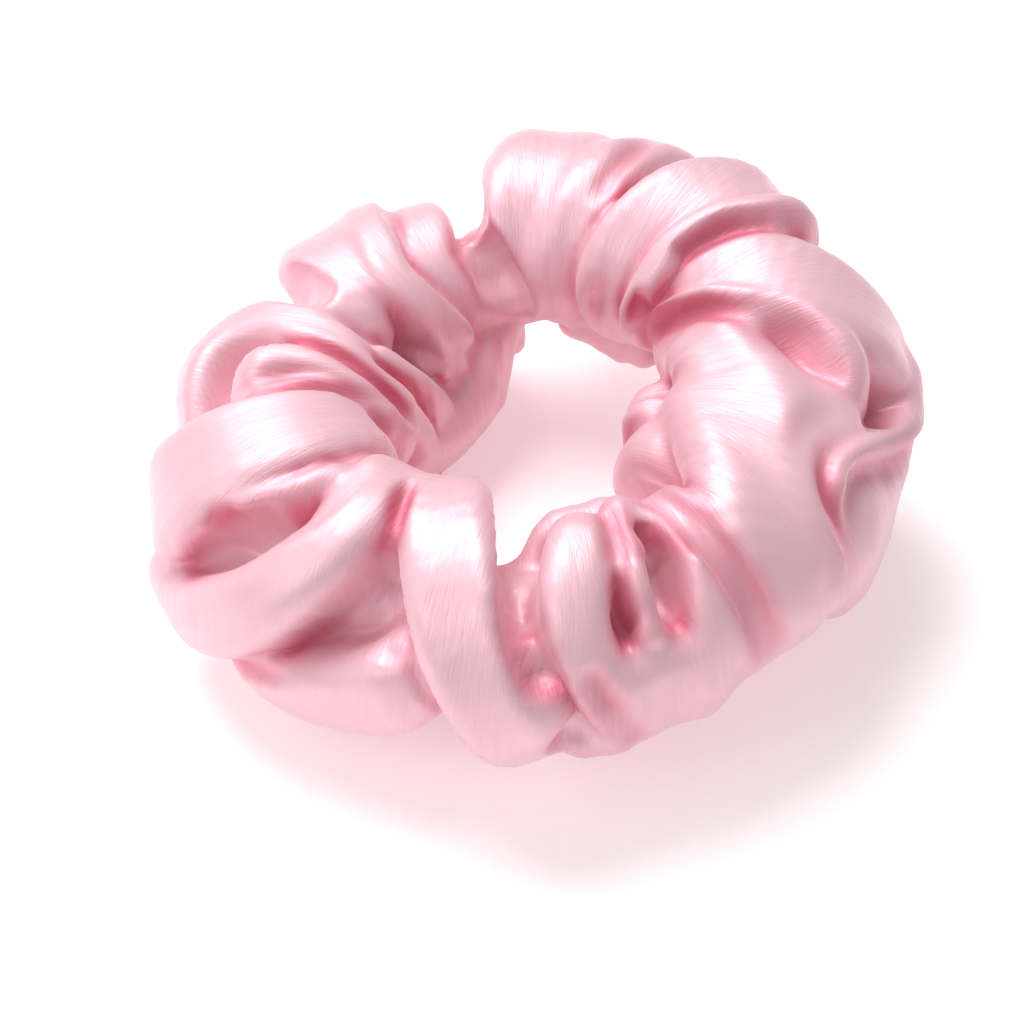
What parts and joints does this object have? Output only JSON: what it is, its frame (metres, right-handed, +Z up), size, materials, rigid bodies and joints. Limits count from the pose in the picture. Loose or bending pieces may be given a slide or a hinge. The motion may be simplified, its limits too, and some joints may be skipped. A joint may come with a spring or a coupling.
{
  "type": "hair scrunchie",
  "caption": "Puffy gathered satin hair scrunchie on a hidden elastic loop, which stretches open and springs back.",
  "frame": {"origin": "on the floor under the middle of the ring", "axes": "+Z up, along the axis of the ring's hole; the ring stretches open along Y, its front half moving towards -Y"},
  "size_m": [0.115, 0.115, 0.0434],
  "materials": {
    "satin": "satin weave, soft pearly sheen",
    "elastic": "white braided elastic",
    "thread": "spun polyester sewing thread"
  },
  "bodies": {
    "back": {"satin_cover_back": "satin", "elastic_band": "elastic", "elastic_join_stitches": "thread", "long_seam_stitches_back": "thread", "closing_seam_stitches": "thread"},
    "front": {"satin_cover_front": "satin", "long_seam_stitches_front": "thread"}
  },
  "joints": [
    {"name": "stretch", "type": "slide", "parent": "back", "child": "front", "axis": [0, -1, 0], "range_m": [0, 0.065], "stiffness_N_per_m": 150, "deforming": ["elastic_band"]}
  ]
}
